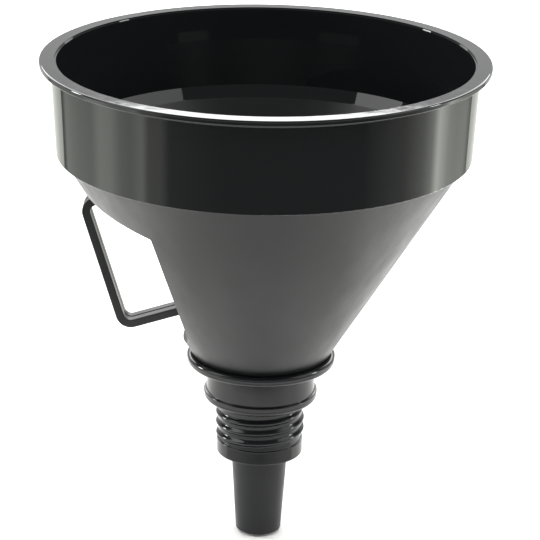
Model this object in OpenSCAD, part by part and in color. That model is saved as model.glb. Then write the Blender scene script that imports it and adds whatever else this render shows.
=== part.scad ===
// Filling funnel with a hand grip, a push-on outlet and a lift-out strainer.
// Millimetres, +Z up. The origin is the centre of the nozzle's tip, and the grip is on the -X side.

/* [Bowl] */
// Diameter over the rim
rim_d = 160; // [130:1:200]
// Height of the near-upright collar under the rim
collar_h = 34.1; // [24:0.1:50]
// Height of the cone below the collar
cone_h = 77.2; // [60:0.1:110]
// How much the collar's radius shrinks from its top to its bottom edge
collar_draft = 1.6; // [0.4:0.1:4]
// Step in from the collar's bottom edge to the top of the cone
cone_step = 2; // [0.8:0.1:3]
// Diameter of the cone where it meets the outlet
cone_foot_d = 50.6; // [46:0.1:64]
// Thickness of the bowl's walls
bowl_wall = 2; // [1.4:0.1:2.6]

/* [Rim] */
// How far the lip stands out from the collar
lip_overhang = 4; // [3:0.1:7]
// Thickness of the lip
lip_t = 2; // [1.4:0.1:3]
// Rounding of the lip's outer edges
lip_round = 0.6; // [0.3:0.1:0.7]
// Fillet between the lip and the collar
lip_fillet = 1.8; // [1:0.1:2.5]
// Width and depth of the small step inside the mouth
mouth_step = 0.6; // [0.5:0.1:1.3]
// Rounding of the collar's bottom edge
collar_round = 0.5; // [0.3:0.1:0.7]

/* [Finger recess] */
// How far the recess's inner corner lies inside the cone's surface
recess_depth = 23; // [16:0.5:26]
// Height from the collar's bottom edge down to the inner corner
recess_drop = 18.2; // [15:0.1:26]
// Rise of the recess's roof towards the outside, in degrees
recess_roof_rise = 14.3; // [6:0.1:18]
// Height of the recess's lower end above the cone's foot
recess_rise = 5; // [4:0.1:10]
// How far the recess's lower end lies inside the cone's surface
recess_toe = 3.6; // [2.5:0.1:5]
// Radius at the recess's inner corner
recess_round = 1; // [0.6:0.1:3]
// Radius at the recess's lower end
recess_toe_round = 5; // [3:0.1:7]

/* [Handle] */
// Width of the grip's strap
strap_w = 8; // [6:0.1:14]
// Thickness of the strap
strap_t = 3; // [2:0.1:4]
// Inner radius of the strap's bends
strap_bend = 2.5; // [1.5:0.1:6]
// Width of the groove along the middle of the strap's faces
strap_groove_w = 0.7; // [0.4:0.1:1.2]
// Depth of that groove
strap_groove_d = 0.35; // [0.2:0.05:0.5]
// Height from the collar's bottom edge down to the strap's upper bend
grip_drop = 20.6; // [18:0.1:28]
// How far the upper bend stands outside the cone's surface
grip_stand = 5; // [2:0.1:14]
// Height of the strap's lower bend above the cone's foot
grip_rise = 10; // [8:0.1:16]
// Finger room between the recess's wall and the lower bend
grip_reach = 24.5; // [18:0.1:36]

/* [Outlet coupling] */
// Height of the coupling, from its lower mouth to the top of its upper bead
coupling_h = 39.4; // [37:0.1:50]
// Wall of the upper bead round the cup, at its widest
bead_wall = 2.5; // [2:0.1:6]
// Height of the upper bead
bead_h = 3.8; // [3:0.1:4.4]
// Depth of the cup that takes the cone's foot
cup_depth = 2.4; // [2.2:0.1:3]
// Thickness of the cup's floor round the neck
cup_floor = 2.7; // [2.2:0.1:3.2]
// Wall of the neck just below the cup
neck_wall = 1.9; // [1.5:0.1:2.6]
// How much the neck's radius grows from the cup down to the middle bead
neck_draft = 0.5; // [0:0.1:0.9]
// How far the middle bead stands out from the neck
mid_bead_stand = 0.9; // [0.6:0.1:3]
// Height of the middle bead
mid_bead_h = 3.4; // [2.4:0.1:4]
// Height of the middle bead's centre above the coupling's lower mouth
mid_bead_z = 23.3; // [22.4:0.1:25]
// How far the inner shoulder, which carries the nozzle, lies below that centre
shoulder_drop = 0.1; // [0:0.1:1]
// Fillet under each bead
neck_fillet = 1.6; // [0.8:0.1:2]

/* [Hose thread] */
// Core diameter under the thread
thread_core_d = 30.8; // [28:0.1:34]
// Height of the thread's crest over its core
thread_h = 1.1; // [0.7:0.1:1.4]
// Rise of the thread for each turn
thread_pitch = 4; // [3.4:0.1:4.4]
// Number of turns
thread_turns = 2.7; // [2:0.1:2.9]
// Width of the thread's ridge at its root
thread_root_w = 3.2; // [2:0.1:3.3]
// Compass angle of the thread's lower end, from +X towards +Y
thread_start = 130; // [0:5:355]
// How steeply the ridge rises from its ends, as full heights in a turn
thread_fade = 6; // [3:1:12]
// How far the plain skirt below the thread stands out from its core
skirt_stand = 0.6; // [0.3:0.1:1.1]
// Height of the plain skirt
skirt_h = 5.4; // [4:0.1:8]
// Wall of the threaded sleeve at its core
sleeve_wall = 1.8; // [1.4:0.1:2.2]

/* [Spigot and seal] */
// Outside diameter of the bowl's spigot
spigot_d = 35.2; // [30:0.1:40]
// Wall of the spigot
spigot_wall = 1.7; // [1.4:0.1:2.4]
// Height of the cone's foot that sits in the cup
foot_h = 1.7; // [1.4:0.1:2.2]
// How far the foot lies inside the cone's lower edge
foot_inset = 0.7; // [0.4:0.1:1.2]
// Radial play of the foot in the cup
foot_play = 0.3; // [0.2:0.05:0.5]
// Radial play of the spigot in the neck
spigot_play = 0.1; // [0.05:0.05:0.3]
// Thickness of the sealing ring
seal_t = 1; // [0.8:0.1:1.2]
// Radial room round the sealing ring
seal_play = 0.5; // [0.3:0.1:0.8]

/* [Nozzle] */
// How far the nozzle reaches below the coupling
nozzle_drop = 32; // [22:0.1:60]
// Nozzle diameter at its tip
tip_d = 16.9; // [14:0.1:19]
// How much wider the nozzle is at the coupling's lower mouth than at its tip
nozzle_taper = 4.1; // [2:0.1:6]
// Wall of the nozzle at its tip
tip_wall = 1.45; // [1.1:0.05:1.8]
// Length of the straight bore at the tip
tip_land = 8; // [5:0.5:14]
// Rounding of the tip's outer edge
tip_round = 0.5; // [0.3:0.1:0.7]
// Thickness of the nozzle's flange
flange_t = 2.5; // [1.8:0.1:3]
// Length of the part that centres the nozzle in the sleeve
register_h = 5; // [3:0.1:7]
// Radial play of the nozzle in the coupling
nozzle_play = 0.1; // [0.05:0.05:0.3]
// Room between the spigot's end and the nozzle's flange
flange_gap = 0.3; // [0.2:0.1:0.6]

/* [Strainer] */
// Room between the strainer's ring and the cone's wall
strainer_play = 0.9; // [0.6:0.1:1.4]
// Height of the strainer's ring
strainer_h = 3.4; // [2.6:0.1:5]
// Width of the strainer's ring
strainer_ring_w = 2.6; // [2:0.1:3.4]
// Thickness of the gauze
gauze_t = 0.4; // [0.3:0.1:0.6]
// Width of the cross ribs over the gauze
rib_w = 1.6; // [1.2:0.1:2.4]
// Height of the cross ribs
rib_h = 2; // [1.4:0.1:2.4]
// Diameter of the pull knob
knob_d = 7; // [5:0.1:9]
// Diameter of the pull knob's stem
stem_d = 3.6; // [3:0.1:4.6]
// Height of the stem above the ribs
stem_h = 8; // [6:0.1:16]

/* [Hidden] */
$fn = 96;
past = 1;               // how far a cut runs past the surface that it opens
black = "#26272a";
seal_grey = "#3a3b3d";
brass = "#b08d4a";

// Heights above the nozzle's tip
mouth_z = nozzle_drop;                          // the coupling's lower mouth
coupling_top_z = mouth_z + coupling_h;
cup_z = coupling_top_z - cup_depth;             // the cup's floor, under the seal
mid_z = mouth_z + mid_bead_z;                   // the middle bead's centre
shoulder_z = mid_z - shoulder_drop;             // carries the nozzle's flange
flange_z = shoulder_z + flange_t;
foot_z = cup_z + seal_t;                        // underside of the cone's foot
cone_z = foot_z + foot_h;                       // lower edge of the cone
ledge_z = foot_z + bowl_wall;                   // carries the strainer
spigot_z = flange_z + flange_gap;
collar_z = cone_z + cone_h;
rim_z = collar_z + collar_h;

// Radii
rim_r = rim_d / 2;
collar_top_r = rim_r - lip_overhang;
collar_r = collar_top_r - collar_draft;
cone_top_r = collar_r - cone_step;
cone_foot_r = cone_foot_d / 2;
mouth_r = collar_top_r - bowl_wall + mouth_step;
spigot_r = spigot_d / 2;
spigot_bore_r = spigot_r - spigot_wall;
foot_r = cone_foot_r - foot_inset;
cup_r = foot_r + foot_play;
bead_r = cup_r + bead_wall;
neck_bore_r = spigot_r + spigot_play;
neck_r = neck_bore_r + neck_wall;
neck_low_r = neck_r + neck_draft;
mid_bead_r = neck_low_r + mid_bead_stand;
core_r = thread_core_d / 2;
crest_r = core_r + thread_h;
skirt_r = core_r + skirt_stand;
// The lower fillet takes at most half of the ledge under the middle bead
mid_fillet = min(neck_fillet, (mid_bead_r - mid_bead_h / 2 - skirt_r) / 2);
sleeve_bore_r = core_r - sleeve_wall;
tip_r = tip_d / 2;
tip_bore_r = tip_r - tip_wall;

// Slopes of the two bowl walls, as radius gained for each millimetre of height
cone_slope = (cone_top_r - cone_foot_r) / cone_h;
collar_slope = collar_draft / collar_h;
cone_wall = bowl_wall * norm([1, cone_slope]);  // the cone's wall measured level
nozzle_slope = nozzle_taper / 2 / nozzle_drop;

function cone_r(z) = cone_foot_r + cone_slope * (z - cone_z);
function nozzle_r(z) = tip_r + nozzle_slope * z;

// Where the inside faces of the collar and the cone meet
inner_break_z = collar_z + (cone_step - bowl_wall + cone_wall) / (cone_slope - collar_slope);
inner_break_r = cone_r(inner_break_z) - cone_wall;
ledge_r = cone_r(ledge_z) - cone_wall;

// The recess in the [distance from the axis, height] plane
recess_corner = [cone_r(collar_z - recess_drop) - recess_depth, collar_z - recess_drop];
recess_end = [cone_r(cone_z + recess_rise) - recess_toe, cone_z + recess_rise];
roof_dir = [cos(recess_roof_rise), sin(recess_roof_rise)];
wall_dir = unit(recess_end - recess_corner);
toe_dir = [1, 0];
roof_centre = round_centre(recess_corner, roof_dir, wall_dir, recess_round);
toe_centre = round_centre(recess_end, -wall_dir, toe_dir, recess_toe_round);

// The strap's two bends in the same plane, and its directions
grip_high = [cone_r(collar_z - grip_drop) + grip_stand, collar_z - grip_drop];
grip_low = [recess_wall_r(cone_z + grip_rise) + grip_reach, cone_z + grip_rise];
grip_len = norm(grip_high - grip_low);
grip_lean = atan2(grip_high[0] - grip_low[0], grip_high[1] - grip_low[1]);

// The strainer
strainer_r = ledge_r - strainer_play;
gauze_r = strainer_r - strainer_ring_w / 2;
gauze_gap = 0.1;

function unit(v) = v / norm(v);
function recess_wall_r(z) =
  recess_corner[0] + wall_dir[0] / wall_dir[1] * (z - recess_corner[1]);
// Sine of the angle between two directions
function turn(a, b) = abs(a[0] * b[1] - a[1] * b[0]);
// Centre of a round corner of radius r at p, between edges that run off along a and b
function round_centre(p, a, b, r) = p + (a + b) * r / turn(a, b);
// A corner's point when both of its edges move outwards by o
function grown(p, a, b, o) = p - (a + b) * o / turn(a, b);
// Foot of the upright from c onto the edge through p along a
function on_edge(p, a, c) = p + a * ((c - p) * a);

// Each flat shape swept round the Z axis by itself, then joined as solids
module turned() {
  for (i = [0:$children - 1]) rotate_extrude() children(i);
}

// Flat shapes in the [distance from the axis, height] plane, standing on the -X side
module on_grip_side(width) {
  mirror([1, 0, 0])
    rotate([90, 0, 0])
      for (i = [0:$children - 1]) linear_extrude(width, center = true) children(i);
}

// Concave fillet in the corner at p: side is +1 where the fillet lies above p, -1 below
module fillet(p, r, side) {
  bite = 0.5;           // how far the fillet's back reaches into the pieces that it joins
  difference() {
    translate([p[0] - bite, side > 0 ? p[1] - bite : p[1] - r]) square([r + bite, r + bite]);
    translate([p[0] + r, p[1] + side * r]) circle(r);
  }
}

// The recess without its two rounds, with its roof, wall and lower end moved into the bowl by o
module recess_outline(o) {
  p1 = grown(recess_corner, roof_dir, wall_dir, o);
  p2 = grown(recess_end, -wall_dir, toe_dir, o);
  polygon([
    on_edge(p1, roof_dir, roof_centre),
    on_edge(p1, wall_dir, roof_centre),
    on_edge(p2, wall_dir, toe_centre),
    on_edge(p2, toe_dir, toe_centre),
    [rim_r, p2[1]],
    [rim_r, p1[1] + (rim_r - p1[0]) * tan(recess_roof_rise)]
  ]);
}

module recess(o) {
  across = 3 * rim_r;   // wider than the bowl
  on_grip_side(across) {
    recess_outline(o);
    translate(roof_centre) circle(recess_round + o);
    translate(toe_centre) circle(recess_toe_round + o);
  }
}

module lip() {
  low_z = rim_z - lip_t;
  turned() {
    translate([0, low_z]) square([rim_r - lip_round, lip_t]);
    translate([0, low_z + lip_round]) square([rim_r, lip_t - 2 * lip_round]);
    translate([rim_r - lip_round, low_z + lip_round]) circle(lip_round);
    translate([rim_r - lip_round, rim_z - lip_round]) circle(lip_round);
    fillet([collar_top_r, low_z], lip_fillet, -1);
  }
}

module bowl_outside() {
  lip();
  turned() {
    polygon([
      [0, rim_z - lip_t / 2],
      [collar_top_r, rim_z - lip_t / 2],
      [collar_top_r, rim_z - lip_t],
      [collar_r, collar_z + collar_round],
      [0, collar_z + collar_round]
    ]);
    translate([0, collar_z]) square([collar_r - collar_round, 2 * collar_round]);
    translate([collar_r - collar_round, collar_z + collar_round]) circle(collar_round);
    polygon([[0, collar_z + past], [cone_top_r, collar_z + past], [cone_top_r, collar_z],
      [cone_foot_r, cone_z], [0, cone_z]]);
    translate([0, foot_z]) square([foot_r, foot_h + past]);
    translate([0, spigot_z]) square([spigot_r, foot_z - spigot_z + past]);
  }
}

module bowl_inside() {
  turned() {
    translate([0, rim_z - mouth_step]) square([mouth_r, mouth_step + past]);
    polygon([
      [0, rim_z],
      [collar_top_r - bowl_wall, rim_z],
      [inner_break_r, inner_break_z],
      [ledge_r, ledge_z],
      [0, ledge_z]
    ]);
  }
}

module bowl() {
  color(black) difference() {
    bowl_outside();
    difference() {
      bowl_inside();
      recess(bowl_wall);
    }
    recess(0);
    translate([0, 0, spigot_z - past])
      cylinder(r = spigot_bore_r, h = ledge_z - spigot_z + 2 * past);
  }
}

// The strap's outline, half_t to each side of its middle line, open towards the bowl
module strap_band(half_t) {
  middle_bend = strap_bend + strap_t / 2;
  difference() {
    strap_block(half_t, middle_bend + half_t, grip_high[0]);
    strap_block(-half_t, middle_bend - half_t, grip_high[0] + past);
  }
}

// A block that runs from the grip inwards, with its two outer corners rounded
module strap_block(grow, r, reach) {
  low = -grow;
  high = grip_len + grow;
  union() {
    translate([low + r, low]) square([reach - r, high - low]);
    translate([low, low + r]) square([reach, high - low - 2 * r]);
    for (y = [low + r, high - r]) translate([low + r, y]) circle(r);
  }
}

module strap(width, half_t) {
  on_grip_side(width)
    translate(grip_low)
      rotate(-grip_lean)
        mirror([1, 0, 0]) strap_band(half_t);
}

module handle() {
  color(black) intersection() {
    difference() {
      strap(strap_w, strap_t / 2);
      difference() {
        strap(strap_groove_w, strap_t);
        strap(strap_w, strap_t / 2 - strap_groove_d);
      }
    }
    recess(0);
  }
}

module coupling_outside() {
  bead_z = coupling_top_z - bead_h / 2;
  under_bead_z = coupling_top_z - bead_h;
  under_cup_z = cup_z - cup_floor;
  under_mid_z = mid_z - mid_bead_h / 2;
  turned() {
    // upper bead and cup
    translate([bead_r - bead_h / 2, bead_z]) circle(bead_h / 2);
    translate([0, under_bead_z]) square([bead_r - bead_h / 2, bead_h]);
    translate([0, under_cup_z]) square([neck_r + neck_fillet, under_bead_z - under_cup_z + past]);
    fillet([neck_r, under_cup_z], neck_fillet, -1);
    // neck and middle bead
    polygon([[0, under_cup_z + past], [neck_r, under_cup_z + past], [neck_r, under_cup_z],
      [neck_low_r, mid_z], [0, mid_z]]);
    translate([mid_bead_r - mid_bead_h / 2, mid_z]) circle(mid_bead_h / 2);
    translate([0, under_mid_z]) square([mid_bead_r - mid_bead_h / 2, mid_bead_h]);
    fillet([skirt_r, under_mid_z], mid_fillet, -1);
    // sleeve
    translate([0, mouth_z]) square([skirt_r, skirt_h]);
    translate([0, mouth_z]) square([core_r, under_mid_z - mouth_z + past]);
    translate([0, under_mid_z - mid_fillet]) square([skirt_r, mid_fillet + past]);
  }
}

// The thread's ridge: a rounded section swept up a right-hand helix, sunk at both ends
module thread_ridge() {
  turn_steps = 30;
  half_points = 3;
  sunk = 0.6;
  end_h = 0.3;          // height of the ridge's two ends, as a share of its full height
  steps = round(thread_turns * turn_steps);
  corners = 2 * half_points + 1;
  start_z = mouth_z + skirt_h + thread_root_w / 2;
  root_r = core_r - sunk;
  function height(i) =
    min(1, end_h + (1 - end_h) * min(i, steps - i) * thread_fade / turn_steps);
  function section(i, k) =
    let (t = k / half_points - 1, a = thread_start + 360 * i / turn_steps,
      r = root_r + (crest_r - root_r) * height(i) * (1 + cos(180 * t)) / 2)
    [r * cos(a), r * sin(a), start_z + thread_pitch * i / turn_steps + t * thread_root_w / 2];
  points = [for (i = [0:steps], k = [0:corners - 1]) section(i, k)];
  sides = [for (i = [0:steps - 1], k = [0:corners - 1])
    let (a = corners * i, next = (k + 1) % corners)
    each [[a + k, a + next, a + corners + next], [a + k, a + corners + next, a + corners + k]]];
  lower_end = [for (k = [corners - 1:-1:0]) k];
  upper_end = [for (k = [0:corners - 1]) corners * steps + k];
  polyhedron(points, concat([lower_end], sides, [upper_end]));
}

module outlet_coupling() {
  color(black) union() {
    difference() {
      coupling_outside();
      translate([0, 0, cup_z]) cylinder(r = cup_r, h = cup_depth + past);
      translate([0, 0, shoulder_z]) cylinder(r = neck_bore_r, h = cup_z - shoulder_z + past);
      translate([0, 0, mouth_z - past])
        cylinder(r = sleeve_bore_r, h = shoulder_z - mouth_z + 2 * past);
    }
    thread_ridge();
  }
}

module nozzle() {
  register_z = shoulder_z - register_h;
  register_r = sleeve_bore_r - nozzle_play;
  throat_r = nozzle_r(register_z) - tip_wall;
  waist_r = register_r - tip_wall;
  color(black) difference() {
    turned() {
      polygon([[0, tip_round], [nozzle_r(tip_round), tip_round],
        [nozzle_r(register_z), register_z], [0, register_z]]);
      square([tip_r - tip_round, tip_round + past]);
      translate([tip_r - tip_round, tip_round]) circle(tip_round);
      translate([0, register_z]) square([register_r, register_h + past]);
      translate([0, shoulder_z]) square([neck_bore_r - nozzle_play, flange_t]);
    }
    translate([0, 0, -past]) cylinder(r = tip_bore_r, h = tip_land + 2 * past);
    translate([0, 0, tip_land])
      cylinder(r1 = tip_bore_r, r2 = throat_r, h = register_z - tip_land);
    translate([0, 0, register_z]) cylinder(r1 = throat_r, r2 = waist_r, h = register_h);
    translate([0, 0, shoulder_z]) cylinder(r1 = waist_r, r2 = spigot_bore_r, h = flange_t);
    translate([0, 0, flange_z]) cylinder(r = spigot_bore_r, h = past);
  }
}

module seal_ring() {
  color(seal_grey) translate([0, 0, cup_z]) difference() {
    cylinder(r = foot_r - seal_play, h = seal_t);
    translate([0, 0, -past]) cylinder(r = neck_bore_r + seal_play, h = seal_t + 2 * past);
  }
}

module strainer_frame() {
  rib_z = ledge_z + gauze_gap + gauze_t;
  ring_bore_r = strainer_r - strainer_ring_w;
  edge = strainer_ring_w / 4;
  color(black) union() {
    difference() {
      turned() {
        translate([0, ledge_z]) square([strainer_r, strainer_h - edge]);
        translate([0, ledge_z]) square([strainer_r - edge, strainer_h]);
        translate([strainer_r - edge, ledge_z + strainer_h - edge]) circle(edge);
      }
      translate([0, 0, ledge_z - past]) cylinder(r = ring_bore_r, h = strainer_h + 2 * past);
      translate([0, 0, ledge_z - past]) cylinder(r = gauze_r + gauze_gap, h = rib_z - ledge_z + past);
    }
    for (a = [0, 90]) rotate(a)
      translate([-ring_bore_r - edge, -rib_w / 2, rib_z])
        cube([2 * (ring_bore_r + edge), rib_w, rib_h]);
    translate([0, 0, rib_z]) cylinder(d = knob_d, h = rib_h);
    translate([0, 0, rib_z]) cylinder(d = stem_d, h = rib_h + stem_h);
    translate([0, 0, rib_z + rib_h + stem_h]) sphere(d = knob_d);
  }
}

module strainer_gauze() {
  color(brass) translate([0, 0, ledge_z + gauze_gap]) cylinder(r = gauze_r, h = gauze_t);
}

bowl();
handle();
outlet_coupling();
nozzle();
seal_ring();
strainer_frame();
strainer_gauze();
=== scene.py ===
"""Filling funnel: finished meshes, materials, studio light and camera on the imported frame."""

import math

import bmesh
import bpy
from mathutils import Matrix, Vector


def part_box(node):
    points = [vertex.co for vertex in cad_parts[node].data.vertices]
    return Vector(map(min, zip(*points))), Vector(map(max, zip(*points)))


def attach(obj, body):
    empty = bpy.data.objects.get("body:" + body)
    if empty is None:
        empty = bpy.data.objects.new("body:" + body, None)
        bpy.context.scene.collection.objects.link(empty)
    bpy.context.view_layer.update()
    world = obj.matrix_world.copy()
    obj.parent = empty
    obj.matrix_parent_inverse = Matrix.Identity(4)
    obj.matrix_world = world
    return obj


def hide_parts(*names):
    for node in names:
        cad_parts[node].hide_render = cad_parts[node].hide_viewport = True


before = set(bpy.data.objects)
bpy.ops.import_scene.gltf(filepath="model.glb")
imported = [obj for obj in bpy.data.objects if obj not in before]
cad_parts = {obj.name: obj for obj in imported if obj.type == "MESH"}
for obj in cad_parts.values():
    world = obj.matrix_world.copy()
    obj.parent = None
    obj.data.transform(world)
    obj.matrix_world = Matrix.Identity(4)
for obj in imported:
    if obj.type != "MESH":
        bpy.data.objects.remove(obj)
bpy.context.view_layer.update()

bl_info = {
    "name": "Filling funnel",
    "version": (1, 0, 0),
    "blender": (4, 5, 0),
    "location": "3D View > Sidebar > Funnel",
    "description": "Builds the finished pieces of a filling funnel around its packed frame",
    "category": "Add Mesh",
}

MM = 0.001
TAU = 2 * math.pi

# Small roundings that the mouldings share, from a plain crease to a broken edge
CREASE, LEDGE, EASED, BROKEN = 0.2 * MM, 0.25 * MM, 0.3 * MM, 0.5 * MM
# Edges sharper than this are shaded as edges
SHARP = math.radians(42)
# How far from each end of a straight stretch a row of points keeps the shading crisp
GUARD = 0.3 * MM
# The most that one flat of a rounding turns, and the share of a stretch that it may take
FACET = math.radians(13)
MOST_ROUNDED = 0.499
# The part of a noise's span that its values fill
NOISE_SPAN = {"From Min": 0.3, "From Max": 0.7}
# Index of refraction of polypropylene, and near enough that of rubber
POLYPROPYLENE = 1.49
# Points closer together than this are one point
WELD = 0.0005 * MM

# Places that every piece shares, read from the frame
BOWL_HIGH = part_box("bowl")[1]
OUTLET_LOW, OUTLET_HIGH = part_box("outlet_coupling")
NOZZLE_LOW, NOZZLE_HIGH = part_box("nozzle")
SEAL_LOW, SEAL_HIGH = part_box("seal_ring")
STRAINER_LOW, STRAINER_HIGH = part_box("strainer_frame")
GAUZE_LOW, GAUZE_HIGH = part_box("strainer_gauze")


# ---------------------------------------------------------------- settings


def linear(code):
    """An sRGB hex colour as linear red, green and blue."""
    parts = [int(code[i : i + 2], 16) / 255 for i in (1, 3, 5)]
    return [p / 12.92 if p <= 0.04045 else ((p + 0.055) / 1.055) ** 2.4 for p in parts]


def size(name, about, mm):
    """A length that a user may change, given in millimetres and kept in metres."""
    return bpy.props.FloatProperty(
        name=name, description=about, default=mm * MM, min=0, precision=5, unit="LENGTH"
    )


def tint(name, about, code):
    """A colour that a user may change."""
    return bpy.props.FloatVectorProperty(
        name=name, description=about, default=linear(code), min=0, max=1, subtype="COLOR"
    )


def angle(name, about, degrees):
    """An angle that a user may change, given in degrees and kept in radians."""
    return bpy.props.FloatProperty(
        name=name, description=about, default=math.radians(degrees), subtype="ANGLE"
    )


def number(name, about, value):
    """A plain number that a user may change."""
    return bpy.props.FloatProperty(name=name, description=about, default=value, min=0)


class BowlSettings(bpy.types.PropertyGroup):
    """Where the bowl's two finishes meet, and its colour."""

    collar_h: size("Collar height", "Height of the near-upright collar under the rim", 34.1)
    colour: tint("Colour", "Body colour of the moulded bowl", "#151617")


class HandleSettings(bpy.types.PropertyGroup):
    """Sizes of the strap handle, on the side of the finger recess."""

    high_out: size("Upper bend out", "From the axis to the strap's upper bend", 64.83)
    high_z: size("Upper bend up", "From the nozzle's tip up to the upper bend", 128.3)
    low_out: size("Lower bend out", "From the axis to the strap's lower bend", 50.59)
    low_z: size("Lower bend up", "From the nozzle's tip up to the lower bend", 81.7)
    corner_out: size("Recess corner out", "From the axis to the recess's inner corner", 38.3)
    corner_z: size("Recess corner up", "From the nozzle's tip up to that corner", 130.7)
    end_out: size("Recess end out", "From the axis to the recess's lower end", 24.75)
    end_z: size("Recess end up", "From the nozzle's tip up to that end", 76.7)
    roof_rise: angle("Roof rise", "Rise of the recess's roof towards the outside", 14.3)
    root: size("Root", "How far the strap's ends run into the bowl's wall", 0.8)
    width: size("Width", "Width of the strap", 8)
    thickness: size("Thickness", "Thickness of the strap", 3)
    bend: size("Bend", "Radius of the bends along the strap's middle line", 4)
    groove_w: size("Groove width", "Width of the groove along each face", 0.9)
    groove_d: size("Groove depth", "Depth of that groove", 0.35)
    corner: size("Corner", "Rounding of the strap's long edges", 0.3)


class OutletSettings(bpy.types.PropertyGroup):
    """Sizes and colour of the coupling and the nozzle."""

    bead_h: size("Upper bead", "Height of the upper bead", 3.8)
    bead_wall: size("Bead wall", "Wall of the upper bead round the cup", 2.5)
    cup_depth: size("Cup depth", "Depth of the cup that takes the bowl's foot", 2.4)
    cup_floor: size("Cup floor", "Thickness of the cup's floor round the neck", 2.7)
    neck_r: size("Neck", "Radius of the neck just below the cup", 19.6)
    neck_low_r: size("Neck foot", "Radius of the neck at the middle bead", 20.1)
    neck_bore: size("Neck bore", "Radius of the bore that takes the spigot", 17.7)
    mid_bead_r: size("Middle bead", "Radius over the middle bead", 21)
    mid_bead_h: size("Middle bead height", "Height of the middle bead", 3.4)
    mid_bead_z: size("Middle bead place", "Centre of the middle bead above the mouth", 23.3)
    fillet: size("Fillet", "Fillet under each bead", 1.6)
    core_r: size("Thread core", "Core radius under the thread", 15.4)
    skirt_r: size("Skirt", "Radius of the plain skirt", 16)
    skirt_h: size("Skirt height", "Height of the plain skirt", 5.4)
    bore_r: size("Sleeve bore", "Bore radius of the threaded sleeve", 13.6)
    shoulder: size("Shoulder", "Height of the inner shoulder above the mouth", 23.2)
    pitch: size("Thread pitch", "Rise of the thread for each turn", 4)
    crest: size("Thread height", "Height of the thread over its core", 1.1)
    ridge_w: size("Ridge width", "Width of the thread's ridge at its root", 3.2)
    turns: number("Thread turns", "Number of turns of the thread", 2.7)
    start: angle("Thread start", "Compass angle of the thread's lower end", 130)
    edge: size("Edge rounding", "Rounding of small outer edges", 0.4)
    tip_wall: size("Tip wall", "Wall of the nozzle at its tip", 1.45)
    tip_r: size("Tip radius", "Radius of the nozzle at its tip", 8.45)
    taper: size("Taper", "Radius gained from the tip to the coupling's mouth", 2.05)
    tip_land: size("Tip land", "Length of the straight bore at the tip", 8)
    flange_t: size("Flange", "Thickness of the nozzle's flange", 2.5)
    register_h: size("Register", "Length that centres the nozzle in the sleeve", 5)
    play: size("Play", "Radial play of the nozzle in the coupling", 0.1)
    fade: number("Thread fade", "How many fades from flat to full crest fit in one turn", 6)
    lead_in: size("Lead-in", "From the neck's bore to the nozzle's mouth", 1.8)
    seal_play: size("Seal play", "From the neck's bore to the seal's inside", 0.5)
    colour: tint("Colour", "Body colour of the moulded outlet", "#141517")
    seal_colour: tint("Seal colour", "Colour of the sealing ring", "#2b2c2d")


class StrainerSettings(bpy.types.PropertyGroup):
    """Sizes and colours of the strainer."""

    ring_w: size("Ring width", "Width of the strainer's ring", 2.6)
    ring_h: size("Ring height", "Height of the strainer's ring", 3.4)
    rib_w: size("Rib width", "Width of the cross ribs", 1.6)
    rib_h: size("Rib height", "Height of the cross ribs", 2)
    hub_r: size("Hub radius", "Radius of the hub where the ribs cross", 3.5)
    stem_r: size("Stem radius", "Radius of the pull knob's stem", 1.8)
    knob_r: size("Knob radius", "Radius of the round pull knob", 3.5)
    wire_d: size("Wire", "Diameter of the gauze's wires", 0.18)
    mesh_pitch: size("Mesh pitch", "Spacing of the gauze's wires", 1.2)
    colour: tint("Colour", "Body colour of the moulded frame", "#141517")
    wire_colour: tint("Wire colour", "Colour of the woven wire", "#c9a85c")
    tarnish: tint("Tarnish", "Colour of the wire where it has tarnished", "#8a6a34")


class StudioSettings(bpy.types.PropertyGroup):
    """Camera, floor and light."""

    camera_back: size("Camera distance", "How far the camera stands in front", 806)
    camera_up: size("Camera height", "Height of the camera over the nozzle's tip", 396.6)
    pitch: number("Pitch", "How far the camera looks down, in degrees", 20.005)
    yaw: number("Yaw", "How far the camera turns to the right, in degrees", 0.197)
    roll: number("Roll", "How far the camera leans to its right, in degrees", 1.047)
    lens: number("Lens", "Focal length on a 36 mm sensor, in millimetres", 156.8)
    floor_colour: tint("Floor", "Colour of the plain floor", "#f4f4f2")
    gap: size("Floor gap", "How far the floor lies under the nozzle's tip", 1)
    floor_half: size("Floor reach", "From the middle of the floor to its edges", 8000)
    cards_inner: size("Cards inside", "Inner radius of the ring of cards", 235)
    cards_outer: size("Cards outside", "Outer radius of the ring of cards", 1300)
    back_inner: size("Back card inside", "Inner radius of the card behind the object", 380)
    mat_inner: size("Mat inside", "Inner radius of the dark mat under the outlet", 80)
    mat_outer: size("Mat outside", "Outer radius of the dark mat under the outlet", 112)
    wall_top: angle("Wall top", "Height that the room's pale walls reach", 14)
    ceiling_low: angle("Ceiling", "Height above which the room is as dim as its ceiling", 25)
    ceiling_light: number("Ceiling light", "Light of the ceiling beside that of the walls", 0.12)


SETTINGS = {
    "funnel_bowl": BowlSettings,
    "funnel_handle": HandleSettings,
    "funnel_outlet": OutletSettings,
    "funnel_strainer": StrainerSettings,
    "funnel_studio": StudioSettings,
}


# ---------------------------------------------------------------- shapes


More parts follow.
